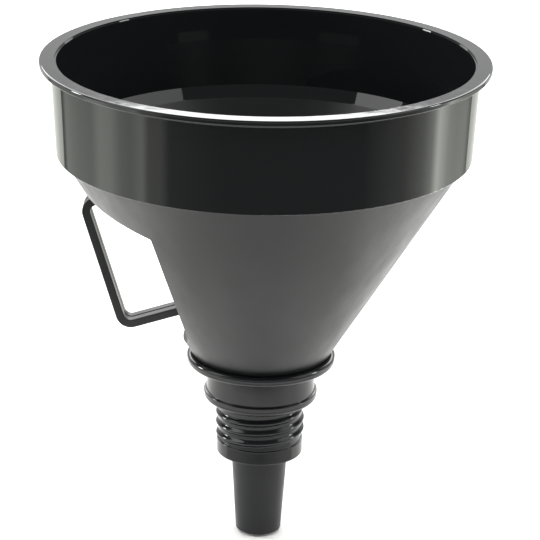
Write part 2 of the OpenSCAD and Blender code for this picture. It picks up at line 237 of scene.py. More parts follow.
def rounded(corners, closed=True):
    """The points of an outline. Each corner is (radius, height, rounding) and, where the
    stretch after it needs rows of its own, their spacing."""
    count = len(corners)
    ends = []
    for i, corner in enumerate(corners):
        here = Vector(corner[:2])
        before = Vector(corners[i - 1][:2]) - here
        after = Vector(corners[(i + 1) % count][:2]) - here
        r = corner[2]
        if r == 0 or (not closed and i in (0, count - 1)):
            ends.append([here])
            continue
        half = before.angle(after) / 2
        r = min(r, MOST_ROUNDED * min(before.length, after.length) * math.tan(half))
        centre = here + (before.normalized() + after.normalized()).normalized() * (
            r / math.sin(half)
        )
        first = here + before.normalized() * (r / math.tan(half)) - centre
        sweep = first.angle_signed(here + after.normalized() * (r / math.tan(half)) - centre)
        steps = max(3, math.ceil(abs(sweep) / FACET))
        ends.append([centre + turned(first, -sweep * k / steps) for k in range(steps + 1)])
    points = []
    for i, arc in enumerate(ends):
        points += arc
        if closed or i + 1 < count:
            points += between(arc[-1], ends[(i + 1) % count][0], corners[i])
    return points


def turned(v, by):
    """A flat vector turned anticlockwise."""
    c, s = math.cos(by), math.sin(by)
    return Vector((c * v.x - s * v.y, s * v.x + c * v.y))


def between(a, b, corner):
    """Extra points on a straight stretch: rows at a set spacing, or one near each end
    so that shading stays crisp."""
    span = (b - a).length
    if len(corner) > 3:
        steps = round(span / corner[3])
        return [a.lerp(b, k / steps) for k in range(1, steps)]
    if span > 4 * GUARD:
        return [a.lerp(b, GUARD / span), a.lerp(b, 1 - GUARD / span)]
    return []


def lathe(name, corners, columns=192):
    """A closed solid of revolution about Z from a rounded outline."""
    outline = rounded(corners)
    rows = len(outline)
    points = [
        (p.x * math.cos(TAU * c / columns), p.x * math.sin(TAU * c / columns), p.y)
        for c in range(columns)
        for p in outline
    ]
    faces = []
    for c in range(columns):
        here, there = c * rows, (c + 1) % columns * rows
        for i in range(rows):
            j = (i + 1) % rows
            faces.append((here + i, there + i, there + j, here + j))
    return solid(name, points, faces)


def solid(name, points, faces):
    """A closed mesh, welded at its poles, whose faces point outwards."""
    mesh = bpy.data.meshes.new(name)
    mesh.from_pydata(points, [], faces)
    work = bmesh.new()
    work.from_mesh(mesh)
    bmesh.ops.remove_doubles(work, verts=work.verts, dist=WELD)
    work.to_mesh(mesh)
    work.free()
    mesh.calc_loop_triangles()
    volume = sum(
        mesh.vertices[t.vertices[0]].co.dot(
            mesh.vertices[t.vertices[1]].co.cross(mesh.vertices[t.vertices[2]].co)
        )
        for t in mesh.loop_triangles
    )
    if volume < 0:
        mesh.flip_normals()
    mesh.shade_smooth()
    mesh.set_sharp_from_angle(angle=SHARP)
    return mesh


def place(mesh, material, body, slot, *nodes):
    """Shows a finished mesh on a body, in place of its CAD nodes."""
    piece = bpy.data.objects.new(mesh.name, mesh)
    bpy.context.scene.collection.objects.link(piece)
    piece.data.materials.clear()
    piece.data.materials.append(material)
    if nodes:
        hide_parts(*nodes)
    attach(piece, body)
    return piece


def add(tree, kind, inputs=None, **settings):
    """Adds a node. Each input is given a value, or another node's output to link."""
    node = tree.nodes.new(kind)
    for key, value in settings.items():
        setattr(node, key, value)
    for key, value in (inputs or {}).items():
        if isinstance(value, bpy.types.NodeSocket):
            tree.links.new(value, node.inputs[key])
        else:
            node.inputs[key].default_value = value
    return node


# ---------------------------------------------------------------- materials


def surface(name, colour, ior, metallic=0.0):
    """A new material with its shader, and its tree."""
    material = bpy.data.materials.new(name)
    material.use_nodes = True
    tree = material.node_tree
    tree.nodes.clear()
    shader = add(tree, "ShaderNodeBsdfPrincipled", {"Metallic": metallic, "IOR": ior})
    shader.inputs["Base Color"].default_value = (*colour, 1)
    add(tree, "ShaderNodeOutputMaterial", {"Surface": shader.outputs["BSDF"]})
    return material, tree, shader


def bowl_material(colour, collar_z):
    """Injection-moulded black polypropylene. The collar and lip come from a polished part of
    the mould and mirror the room softly, and the cone below is satin from a grained part."""
    material, tree, shader = surface("polypropylene_polished_and_grained", colour, POLYPROPYLENE)
    place_at = add(tree, "ShaderNodeTexCoord").outputs["Object"]
    height = add(tree, "ShaderNodeSeparateXYZ", {0: place_at}).outputs["Z"]
    # 0 on the grained cone, 1 on the polished collar
    polish = add(
        tree,
        "ShaderNodeMapRange",
        {"Value": height, "From Min": collar_z - 0.4 * MM, "From Max": collar_z + 0.1 * MM},
    ).outputs["Result"]
    # flow marks about 6 mm wide, drawn out along the height, so that they run up the collar
    stretch = add(tree, "ShaderNodeMapping", {"Vector": place_at, "Scale": (1, 1, 0.06)})
    flow = add(
        tree,
        "ShaderNodeTexNoise",
        {"Vector": stretch.outputs[0], "Scale": 1 / (6 * MM), "Detail": 3.0},
    ).outputs["Fac"]
    satin = add(
        tree,
        "ShaderNodeMapRange",
        {"Value": flow, **NOISE_SPAN, "To Min": 0.3, "To Max": 0.4},
    ).outputs["Result"]
    gloss = add(
        tree,
        "ShaderNodeMapRange",
        {"Value": flow, **NOISE_SPAN, "To Min": 0.02, "To Max": 0.05},
    ).outputs["Result"]
    rough = add(
        tree, "ShaderNodeMix", {"Factor": polish, "A": satin, "B": gloss}, data_type="FLOAT"
    )
    tree.links.new(rough.outputs[0], shader.inputs["Roughness"])
    # spark-eroded grain of 0.5 mm on the cone, drawn coarser than the real 0.1 mm so that it
    # shows, 0.012 mm deep there and next to nothing on the polished collar
    grain = add(
        tree, "ShaderNodeTexNoise", {"Vector": place_at, "Scale": 1 / (0.5 * MM), "Detail": 2.0}
    ).outputs["Fac"]
    depth = add(
        tree,
        "ShaderNodeMapRange",
        {"Value": polish, "To Min": 0.012 * MM, "To Max": 0.0005 * MM},
    ).outputs["Result"]
    relief = add(
        tree, "ShaderNodeMath", {0: grain, 1: depth}, operation="MULTIPLY"
    ).outputs[0]
    # the flow marks stand 0.01 mm proud
    wave = add(
        tree, "ShaderNodeMath", {0: flow, 1: 0.01 * MM}, operation="MULTIPLY"
    ).outputs[0]
    total = add(tree, "ShaderNodeMath", {0: relief, 1: wave}, operation="ADD").outputs[0]
    bump = add(tree, "ShaderNodeBump", {"Height": total, "Distance": 1.0, "Strength": 1.0})
    tree.links.new(bump.outputs[0], shader.inputs["Normal"])
    return material


def satin_material(name, colour, low, high, grain_mm, relief_mm, shine=0.5):
    """Satin moulded plastic or rubber: an even grain, with smears from handling that shift
    its roughness between low and high."""
    material, tree, shader = surface(name, colour, POLYPROPYLENE)
    shader.inputs["Specular IOR Level"].default_value = shine
    place_at = add(tree, "ShaderNodeTexCoord").outputs["Object"]
    smear = add(
        tree, "ShaderNodeTexNoise", {"Vector": place_at, "Scale": 1 / (9 * MM), "Detail": 4.0}
    ).outputs["Fac"]
    rough = add(
        tree,
        "ShaderNodeMapRange",
        {"Value": smear, **NOISE_SPAN, "To Min": low, "To Max": high},
    )
    tree.links.new(rough.outputs["Result"], shader.inputs["Roughness"])
    grain = add(
        tree, "ShaderNodeTexNoise", {"Vector": place_at, "Scale": 1 / (grain_mm * MM)}
    ).outputs["Fac"]
    bump = add(
        tree, "ShaderNodeBump", {"Height": grain, "Distance": relief_mm * MM, "Strength": 1.0}
    )
    tree.links.new(bump.outputs[0], shader.inputs["Normal"])
    return material


def wire_material(colour, tarnished):
    """Drawn brass wire: bright yellow metal, a little browned where it has tarnished."""
    material, tree, shader = surface("brass_wire_drawn", colour, 1.5, metallic=1.0)
    place_at = add(tree, "ShaderNodeTexCoord").outputs["Object"]
    tarnish = add(
        tree, "ShaderNodeTexNoise", {"Vector": place_at, "Scale": 1 / (5 * MM), "Detail": 5.0}
    ).outputs["Fac"]
    shade = add(
        tree,
        "ShaderNodeMix",
        {"Factor": tarnish, "A": (*colour, 1), "B": (*tarnished, 1)},
        data_type="RGBA",
    )
    tree.links.new(shade.outputs["Result"], shader.inputs["Base Color"])
    shader.inputs["Roughness"].default_value = 0.32
    return material


def floor_material(colour):
    """Matt painted board: an even pale ground with a trace of roller texture."""
    material, tree, shader = surface("board_matt_paint", colour, 1.45)
    shader.inputs["Roughness"].default_value = 0.9
    shader.inputs["Specular IOR Level"].default_value = 0.1
    place_at = add(tree, "ShaderNodeTexCoord").outputs["Object"]
    roller = add(tree, "ShaderNodeTexNoise", {"Vector": place_at, "Scale": 1 / (3 * MM)})
    bump = add(
        tree, "ShaderNodeBump", {"Height": roller.outputs["Fac"], "Distance": 0.02 * MM}
    )
    tree.links.new(bump.outputs[0], shader.inputs["Normal"])
    return material


# ---------------------------------------------------------------- pieces


def build_bowl(s):
    """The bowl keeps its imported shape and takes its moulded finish."""
    material = bowl_material(s.colour, BOWL_HIGH.z - s.collar_h)
    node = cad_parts["bowl"]
    node.data.materials.clear()
    node.data.materials.append(material)
    return material


def build_handle(s, material):
    """The flat strap, swept along its middle line and run into the recess's wall and roof."""
    high, low = Vector((s.high_out, s.high_z)), Vector((s.low_out, s.low_z))
    corner, end = Vector((s.corner_out, s.corner_z)), Vector((s.end_out, s.end_z))
    up = (high - low).normalized()
    inward = turned(up, math.pi / 2)
    wall_normal = turned((corner - end).normalized(), math.pi / 2)
    roof_normal = turned(Vector((1, 0)), s.roof_rise + math.pi / 2)
    r = s.bend
    # each station: a point of the middle line and the direction away from the bend's centre
    stations = [(low, -up), (low + inward * (r + GUARD), -up)]
    steps = 12
    for k in range(steps + 1):
        a = math.pi / 2 * k / steps
        out = -up * math.cos(a) - inward * math.sin(a)
        stations.append((low + (inward + up) * r + out * r, out))
    stations += [(low + up * (r + GUARD), -inward), (high - up * (r + GUARD), -inward)]
    for k in range(steps + 1):
        a = math.pi / 2 * k / steps
        out = up * math.sin(a) - inward * math.cos(a)
        stations.append((high + (inward - up) * r + out * r, out))
    stations += [(high + inward * (r + GUARD), up), (high, up)]

    w, t, g, d = s.width / 2, s.thickness / 2, s.groove_w / 2, s.groove_d
    soft = CREASE / 2
    half = [(-w, -t, s.corner), (-g, -t, soft), (-g, d - t, soft)]
    half += [(-u, v, c) for u, v, c in reversed(half)]
    section = rounded(half + [(-u, -v, c) for u, v, c in half])
    # the first and last sections slide along the strap's ends, onto the recess's wall and roof
    points = []
    for i, (middle, out) in enumerate(stations):
        for q in section:
            p = middle + out * q.y
            if i == 0:
                p += inward * ((corner - p).dot(wall_normal) / inward.dot(wall_normal) + s.root)
            if i == len(stations) - 1:
                p += inward * ((corner - p).dot(roof_normal) / inward.dot(roof_normal) + s.root)
            points.append((-p.x, q.x, p.y))
    size_of = len(section)
    faces = [tuple(range(size_of)), tuple(reversed(range(len(points) - size_of, len(points))))]
    for i in range(len(stations) - 1):
        for k in range(size_of):
            j = (k + 1) % size_of
            a, b = i * size_of, (i + 1) * size_of
            faces.append((a + j, a + k, b + k, b + j))
    mesh = solid("handle_strap", points, faces)
    place(mesh, material, "bowl", "bowl_polypropylene", "handle")


def build_coupling(s):
    """Cup, neck, beads, threaded sleeve and skirt, turned as one moulding."""
    low, top = OUTLET_LOW.z, OUTLET_HIGH.z
    bead_r = OUTLET_HIGH.x
    cup_r = bead_r - s.bead_wall
    cup_z = top - s.cup_depth
    under_cup = cup_z - s.cup_floor
    mid_z = low + s.mid_bead_z
    mid_low, mid_high = mid_z - s.mid_bead_h / 2, mid_z + s.mid_bead_h / 2
    shoulder = low + s.shoulder
    soft = s.mid_bead_h / 2
    corners = [
        (cup_r, top, EASED),
        (bead_r, top, s.bead_h / 2),
        (bead_r, top - s.bead_h, s.bead_h / 2),
        (s.neck_r + s.fillet, top - s.bead_h, BROKEN),
        (s.neck_r + s.fillet, under_cup, EASED),
        (s.neck_r, under_cup, s.fillet),
        (s.neck_low_r, mid_high, LEDGE),
        (s.mid_bead_r, mid_high, soft),
        (s.mid_bead_r, mid_low, soft),
        (s.skirt_r, mid_low, s.fillet),
        (s.skirt_r, mid_low - s.fillet - s.edge, s.edge),
        (s.core_r, mid_low - s.fillet - s.edge, CREASE, CREASE),
        (s.core_r, low + s.skirt_h, CREASE),
        (s.skirt_r, low + s.skirt_h, CREASE),
        (s.skirt_r, low, s.edge),
        (s.bore_r, low, s.edge),
        (s.bore_r, shoulder, CREASE),
        (s.neck_bore, shoulder, CREASE),
        (s.neck_bore, cup_z, EASED),
        (cup_r, cup_z, CREASE),
    ]
    material = satin_material(
        "polypropylene_satin", s.colour, 0.09, 0.16, grain_mm=0.6, relief_mm=0.002, shine=0.45
    )
    mesh = lathe("outlet_coupling_moulding", corners, columns=256)
    mesh = threaded(mesh, s, low + s.skirt_h + s.ridge_w / 2, material)
    place(mesh, material, "outlet", "outlet_polypropylene", "outlet_coupling")


def threaded(mesh, s, start_z, material):
    """Raises the hose thread on the coupling's core, as a rounded ridge along a helix."""
    tree = bpy.data.node_groups.new("hose_thread", "GeometryNodeTree")
    face = tree.interface
    face.new_socket("Geometry", in_out="INPUT", socket_type="NodeSocketGeometry")
    face.new_socket("Geometry", in_out="OUTPUT", socket_type="NodeSocketGeometry")
    values = {
        "Pitch": s.pitch,
        "Crest height": s.crest,
        "Ridge width": s.ridge_w,
        "Turns": s.turns,
        "Start height": start_z,
        "Start angle": s.start,
        "Core radius": s.core_r,
        "Bore radius": s.bore_r,
        "Fade": s.fade,
    }
    keys = {
        name: face.new_socket(name, in_out="INPUT", socket_type="NodeSocketFloat").identifier
        for name in values
    }
    given = add(tree, "NodeGroupInput").outputs
    parts = add(
        tree, "ShaderNodeSeparateXYZ", {0: add(tree, "GeometryNodeInputPosition").outputs[0]}
    ).outputs

    known = {name: given[name] for name in values} | {axis: parts[axis] for axis in "XYZ"}
    # each step: the name of its result, the operation, and the values it takes
    for name, operation, *terms in (
        # share of a turn from the start angle, from 0 to 1
        ("bearing", "ARCTAN2", "Y", "X"),
        ("bearing", "SUBTRACT", "bearing", "Start angle"),
        ("share", "DIVIDE", "bearing", TAU),
        ("share", "FRACT", "share"),
        # the nearest winding, and how far along the helix it is
        ("level", "SUBTRACT", "Z", "Start height"),
        ("level", "DIVIDE", "level", "Pitch"),
        ("winding", "SUBTRACT", "level", "share"),
        ("winding", "ROUND", "winding"),
        ("along", "ADD", "winding", "share"),
        ("away", "SUBTRACT", "level", "along"),
        ("away", "MULTIPLY", "away", "Pitch"),
        # rounded section of the ridge
        ("reach", "ABSOLUTE", "away"),
        ("reach", "DIVIDE", "reach", "Ridge width"),
        ("reach", "MINIMUM", "reach", 0.5),
        ("bulge", "MULTIPLY", "reach", TAU),
        ("bulge", "COSINE", "bulge"),
        ("bulge", "MULTIPLY_ADD", "bulge", 0.5, 0.5),
        # faded in and out at its ends
        ("fade", "SUBTRACT", "Turns", "along"),
        ("fade", "MINIMUM", "along", "fade"),
        ("fade", "MULTIPLY", "fade", "Fade"),
        ("fade", "MAXIMUM", "fade", 0.0),
        ("fade", "MINIMUM", "fade", 1.0),
        ("ridge", "MULTIPLY", "bulge", "fade"),
        ("ridge", "MULTIPLY", "ridge", "Crest height"),
        # the wall goes out to the ridge, and never in
        ("x_squared", "POWER", "X", 2.0),
        ("y_squared", "POWER", "Y", 2.0),
        ("radius", "ADD", "x_squared", "y_squared"),
        ("radius", "SQRT", "radius"),
        ("target", "ADD", "Core radius", "ridge"),
        ("target", "MAXIMUM", "radius", "target"),
        ("scale", "DIVIDE", "target", "radius"),
        ("moved_x", "MULTIPLY", "X", "scale"),
        ("moved_y", "MULTIPLY", "Y", "scale"),
        # only the outer wall of the sleeve carries the ridge
        ("middle", "ADD", "Core radius", "Bore radius"),
        ("middle", "MULTIPLY", "middle", 0.5),
        ("outer", "GREATER_THAN", "radius", "middle"),
    ):
        inputs = {i: known.get(term, term) for i, term in enumerate(terms)}
        known[name] = add(tree, "ShaderNodeMath", inputs, operation=operation).outputs[0]
    moved = add(
        tree,
        "ShaderNodeCombineXYZ",
        {"X": known["moved_x"], "Y": known["moved_y"], "Z": parts["Z"]},
    ).outputs[0]
    set_position = add(
        tree,
        "GeometryNodeSetPosition",
        {"Geometry": given["Geometry"], "Selection": known["outer"], "Position": moved},
    )
    whole = add(tree, "GeometryNodeRealizeInstances", {"Geometry": set_position.outputs[0]})
    coated = add(
        tree, "GeometryNodeSetMaterial", {"Geometry": whole.outputs[0], "Material": material}
    )
    add(tree, "NodeGroupOutput", {"Geometry": coated.outputs[0]})
    return grown(mesh, tree, {keys[name]: value for name, value in values.items()})


def grown(mesh, tree, values):
    """The plain mesh that a Geometry Nodes tree makes of another mesh."""
    source = bpy.data.objects.new("source", mesh)
    bpy.context.scene.collection.objects.link(source)
    modifier = source.modifiers.new("nodes", "NODES")
    modifier.node_group = tree
    for key, value in values.items():
        modifier[key] = value
    graph = bpy.context.evaluated_depsgraph_get()
    made = bpy.data.meshes.new_from_object(source.evaluated_get(graph))
    made.name = mesh.name + "_finished"
    bpy.data.objects.remove(source)
    return made


def build_nozzle(s):
    """The tapered tube, with the register and the flange that hold it in the coupling."""
    low, top = NOZZLE_LOW.z, NOZZLE_HIGH.z
    shoulder = top - s.flange_t
    register_z = shoulder - s.register_h
    slope = s.taper / (OUTLET_LOW.z - low)
    register_r = s.bore_r - s.play
    flange_r = s.neck_bore - s.play
    bore_r = s.tip_r - s.tip_wall
    throat_r = s.tip_r + slope * (register_z - low) - s.tip_wall
    waist_r = register_r - s.tip_wall
    corners = [
        (bore_r, low, LEDGE),
        (s.tip_r, low, BROKEN),
        (s.tip_r + slope * (register_z - low), register_z, CREASE),
        (register_r, register_z, CREASE),
        (register_r, shoulder, CREASE),
        (flange_r, shoulder, CREASE),
        (flange_r, top, CREASE),
        (s.neck_bore - s.lead_in, top, CREASE),
        (waist_r, shoulder, BROKEN),
        (throat_r, register_z, BROKEN),
        (bore_r, low + s.tip_land, BROKEN),
    ]
    material = satin_material(
        "polypropylene_matt", s.colour, 0.30, 0.42, grain_mm=0.45, relief_mm=0.006, shine=0.33
    )
    mesh = lathe("nozzle_moulding", corners)
    place(mesh, material, "outlet", "outlet_polypropylene", "nozzle")


def build_strainer(s):
    """Ring, cross ribs, hub and pull knob of the strainer, as one moulding."""
    low, top = STRAINER_LOW.z, STRAINER_HIGH.z
    outer = STRAINER_HIGH.x
    bore = outer - s.ring_w
    pocket_r = GAUZE_HIGH.x + CREASE / 2
    rib_z = GAUZE_HIGH.z
    rib_top = rib_z + s.rib_h
    edge = CREASE
    ring = lathe(
        "ring",
        [
            (outer, low, edge),
            (outer, low + s.ring_h, s.ring_w / 4),
            (bore, low + s.ring_h, s.ring_w / 4),
            (bore, rib_z, edge / 2),
            (pocket_r, rib_z, edge / 2),
            (pocket_r, low, edge / 2),
        ],
    )
    # the knob's round, from where the stem meets it up to the pole
    knob_z = top - s.knob_r
    first = math.asin(s.stem_r / s.knob_r)
    steps = 14
    ball = [
        (s.knob_r * math.sin(a), knob_z - s.knob_r * math.cos(a), 0)
        for a in (first + (math.pi - first) * k / steps for k in range(1, steps + 1))
    ]
    ball[-1] = (0, top, 0)
    stem_top = knob_z - s.knob_r * math.cos(first)
    post = lathe(
        "post",
        [
            (0, rib_z, 0),
            (s.hub_r, rib_z, edge),
            (s.hub_r, rib_top, 2 * edge),
            (s.stem_r, rib_top, 4 * edge),
            (s.stem_r, stem_top, 2 * edge),
            *ball,
        ],
        columns=48,
    )
    reach, w = bore + s.ring_w / 4, s.rib_w / 2
    crown = 2.4 * edge
    side = rounded([(-w, rib_z, edge), (w, rib_z, edge), (w, rib_top, crown), (-w, rib_top, crown)])
    count = len(side)
    points = [(x, p.x, p.y) for x in (-reach, reach) for p in side]
    faces = [tuple(range(count)), tuple(reversed(range(count, 2 * count)))]
    for k in range(count):
        j = (k + 1) % count
        faces.append((j, k, count + k, count + j))
    ribs = [solid("rib", points, faces), solid("rib", [(-y, x, z) for x, y, z in points], faces)]
    mesh = joined("strainer_frame_moulding", [ring, post, *ribs])
    material = satin_material(
        "polypropylene_fine_satin", s.colour, 0.26, 0.36, grain_mm=0.4, relief_mm=0.005
    )
    place(mesh, material, "strainer", "strainer_polypropylene", "strainer_frame")


def joined(name, meshes):
    """Several closed meshes as one."""
    work = bmesh.new()
    for mesh in meshes:
        work.from_mesh(mesh)
    whole = bpy.data.meshes.new(name)
    work.to_mesh(whole)
    work.free()
    whole.set_sharp_from_angle(angle=SHARP)
    return whole


def build_gauze(s):
    """Plain-woven wire cloth: two sets of waved wires that pass over and under each other."""
    tree = bpy.data.node_groups.new("plain_weave", "GeometryNodeTree")
    face = tree.interface
    face.new_socket("Geometry", in_out="INPUT", socket_type="NodeSocketGeometry")
    face.new_socket("Geometry", in_out="OUTPUT", socket_type="NodeSocketGeometry")
    values = {
        "Radius": GAUZE_HIGH.x,
        "Pitch": s.mesh_pitch,
        "Wire diameter": s.wire_d,
        "Height": (GAUZE_LOW.z + GAUZE_HIGH.z) / 2,
    }
    keys = {
        name: face.new_socket(name, in_out="INPUT", socket_type="NodeSocketFloat").identifier
        for name in values
    }
    given = add(tree, "NodeGroupInput").outputs

    position = add(tree, "GeometryNodeInputPosition").outputs[0]
    parts = add(tree, "ShaderNodeSeparateXYZ", {0: position}).outputs
    distance = add(tree, "ShaderNodeVectorMath", {0: position}, operation="LENGTH")
    known = {name: given[name] for name in values} | {axis: parts[axis] for axis in "XY"}
    known["distance"] = distance.outputs["Value"]
    # each step: the name of its result, the operation, and the values it takes
    for name, operation, *terms in (
        # whole wires to each side of the middle, and four points along a wire for each mesh
        ("aside", "DIVIDE", "Radius", "Pitch"),
        ("aside", "FLOOR", "aside"),
        ("reach", "MULTIPLY", "aside", "Pitch"),
        ("back", "MULTIPLY", "reach", -1.0),
        ("points along", "MULTIPLY_ADD", "aside", 8.0, 1.0),
        ("wires", "MULTIPLY_ADD", "aside", 2.0, 1.0),
        ("wire radius", "MULTIPLY", "Wire diameter", 0.5),
        ("outside", "GREATER_THAN", "distance", "Radius"),
        # one set of wires goes over where the other goes under
        ("wave", "ADD", "X", "Y"),
        ("wave", "DIVIDE", "wave", "Pitch"),
        ("wave", "MULTIPLY", "wave", math.pi),
        ("wave", "COSINE", "wave"),
        ("wave", "MULTIPLY", "wave", "Wire diameter"),
        ("over", "MULTIPLY", "wave", 0.5),
        ("over", "ADD", "over", "Height"),
        ("under", "MULTIPLY", "wave", -0.5),
        ("under", "ADD", "under", "Height"),
    ):
        inputs = {i: known.get(term, term) for i, term in enumerate(terms)}
        known[name] = add(tree, "ShaderNodeMath", inputs, operation=operation).outputs[0]
    start, end, first, step = (
        add(tree, "ShaderNodeCombineXYZ", {axis: known[name]}).outputs[0]
        for axis, name in (("X", "back"), ("X", "reach"), ("Y", "back"), ("Y", "Pitch"))
    )
    row = add(tree, "GeometryNodeCurvePrimitiveLine", {"Start": start, "End": end})
    row = add(
        tree,
        "GeometryNodeResampleCurve",
        {"Curve": row.outputs[0], "Count": known["points along"]},
    )
    spots = add(
        tree,
        "GeometryNodeMeshLine",
        {"Count": known["wires"], "Start Location": first, "Offset": step},
    )
    copies = add(
        tree,
        "GeometryNodeInstanceOnPoints",
        {"Points": spots.outputs[0], "Instance": row.outputs[0]},
    )
    wires = add(tree, "GeometryNodeRealizeInstances", {"Geometry": copies.outputs[0]}).outputs[0]
    profile = add(
        tree,
        "GeometryNodeCurvePrimitiveCircle",
        {"Resolution": 6, "Radius": known["wire radius"]},
    ).outputs[0]
    cloth = add(tree, "GeometryNodeJoinGeometry")
    # the weft wires are the warp wires turned a quarter
    for level, quarter in (("over", 0.0), ("under", math.pi / 2)):
        lift = add(tree, "ShaderNodeCombineXYZ", {"Z": known[level]}).outputs[0]
        kept = add(
            tree,
            "GeometryNodeDeleteGeometry",
            {"Geometry": wires, "Selection": known["outside"]},
            domain="POINT",
        ).outputs[0]
        waved = add(
            tree,
            "GeometryNodeSetPosition",
            {"Geometry": kept, "Offset": lift},
        ).outputs[0]
        tube = add(
            tree,
            "GeometryNodeCurveToMesh",
            {"Curve": waved, "Profile Curve": profile, "Fill Caps": True},
        ).outputs[0]
        placed = add(
            tree, "GeometryNodeTransform", {"Geometry": tube, "Rotation": (0.0, 0.0, quarter)}
        ).outputs[0]
        tree.links.new(placed, cloth.inputs[0])
    material = wire_material(s.wire_colour, s.tarnish)
    whole = add(tree, "GeometryNodeRealizeInstances", {"Geometry": cloth.outputs[0]}).outputs[0]
    coated = add(tree, "GeometryNodeSetMaterial", {"Geometry": whole, "Material": material})
    add(tree, "NodeGroupOutput", {"Geometry": coated.outputs[0]})
    empty = bpy.data.meshes.new("gauze_woven")
    mesh = grown(empty, tree, {keys[name]: value for name, value in values.items()})
    mesh.shade_smooth()
    place(mesh, material, "strainer", "brass_gauze", "strainer_gauze")


def build_seal(s):
    """The flat ring between the bowl's foot and the floor of the coupling's cup."""
    inner = s.neck_bore + s.seal_play
    corners = [
        (inner, SEAL_LOW.z, EASED),
        (SEAL_HIGH.x, SEAL_LOW.z, EASED),
        (SEAL_HIGH.x, SEAL_HIGH.z, EASED),
        (inner, SEAL_HIGH.z, EASED),
    ]
    material = satin_material(
        "nitrile_rubber_moulded", s.seal_colour, 0.55, 0.7, grain_mm=0.3, relief_mm=0.01
    )
    mesh = lathe("seal_ring_moulding", corners)
    place(mesh, material, "outlet", "seal_rubber", "seal_ring")


# ---------------------------------------------------------------- studio


# Cards that lie round the object and show only in its gloss. Each row is a bearing in degrees
# from the camera's side, positive to its right, and how light the card is there.
CARDS = (
    (-135, 0.3),
    (-132, 0.3),
    (-128, 0.85),
    (-111, 1.07),
    (-100, 1.3),
    (-93, 2.2),
    (-85, 2.35),
    (-78, 1.65),
    (-71, 1.5),
    (-64, 2.1),
    (-60, 0.9),
    (-53, 0.85),
    (-48, 0.25),
    (-20, 0.1),
    (50, 0.09),
    (64, 0.35),
    (75, 0.5),
    (89, 1.2),
    (96, 2.1),
    (101, 4.4),
    (106, 3.0),
    (111, 1.9),
    (118, 1.35),
    (131, 0.9),
    (137, 0.4),
    (139, 0.4),
)

# The darker mat close round the outlet
MAT = (
    (-90, 1.0),
    (-55, 0.95),
    (-30, 0.65),
    (0, 0.42),
    (30, 0.65),
    (55, 0.95),
    (90, 1.0),
)

# The even card under the others, which shows from behind the object in the collar's edges
BACK = ((-180, 1.3), (180, 1.3))

# A trace of olive, as on unbleached board
CARD_TINT = (0.97, 1.0, 0.92)

# Name, place, aim, width, height, power, and whether it shows in reflections
LIGHTS = (
    ("back_softbox", (0, 1.15, 0.926), (0, 0, 0.1), 2.4, 0.8, 27, True),
    ("left_softbox", (-1.1, -0.15, 1.0), (0, 0, 0.1), 0.62, 0.9, 4.6, True),
    ("right_softbox", (1.1, -0.1, 1.0), (0, 0, 0.1), 0.9, 0.9, 4, True),
    ("left_strip", (-1.15, 0.3, 0.42), (0, 0, 0.07), 0.14, 0.26, 5, True),
    ("right_strip", (1.2, 0.0, 0.44), (0, 0, 0.07), 0.14, 0.26, 3, True),
    ("top_fill", (0, -0.2, 1.9), (0, 0, 0), 2.6, 2.6, 60, False),
)

# Width of the camera's sensor in millimetres
SENSOR = 36


def card_ring(name, inner, outer, height, cards):
    """Grey cards laid flat round the object, graded by their bearing."""
    first, last = math.radians(cards[0][0]), math.radians(cards[-1][0])
    columns = 96
    points = []
    for k in range(columns + 1):
        a = first + (last - first) * k / columns - math.pi / 2
        points += [(r * math.cos(a), r * math.sin(a), height) for r in (inner, outer)]
    faces = [(2 * k, 2 * k + 1, 2 * k + 3, 2 * k + 2) for k in range(columns)]
    mesh = bpy.data.meshes.new(name)
    mesh.from_pydata(points, [], faces)
    material = bpy.data.materials.new(name + "_grey")
    material.use_nodes = True
    tree = material.node_tree
    tree.nodes.clear()
    place_at = add(tree, "ShaderNodeTexCoord").outputs["Object"]
    parts = add(tree, "ShaderNodeSeparateXYZ", {0: place_at}).outputs
    # the angle from the camera's side, -Y, as a share from 0 to 1 over the whole turn
    back = add(tree, "ShaderNodeMath", {0: parts["Y"], 1: -1.0}, operation="MULTIPLY")
    bearing = add(
        tree, "ShaderNodeMath", {0: parts["X"], 1: back.outputs[0]}, operation="ARCTAN2"
    )
    share = add(
        tree,
        "ShaderNodeMapRange",
        {"Value": bearing.outputs[0], "From Min": -math.pi, "From Max": math.pi},
    )
    ramp = add(tree, "ShaderNodeValToRGB", {"Fac": share.outputs["Result"]})
    stops = ramp.color_ramp.elements
    brightest = max(light for _, light in cards)
    # a new ramp comes with two stops
    for i, (degrees, light) in enumerate(cards):
        spot = degrees / 360 + 0.5
        stop = stops[i] if i < 2 else stops.new(spot)
        stop.position = spot
        stop.color = (*(light / brightest * c for c in CARD_TINT), 1)
    glow = add(
        tree, "ShaderNodeEmission", {"Color": ramp.outputs["Color"], "Strength": brightest}
    )
    add(tree, "ShaderNodeOutputMaterial", {"Surface": glow.outputs[0]})
    mesh.materials.append(material)
    ring = bpy.data.objects.new(name, mesh)
    bpy.context.scene.collection.objects.link(ring)
    for ray in ("camera", "diffuse", "transmission", "shadow"):
        setattr(ring, "visible_" + ray, False)


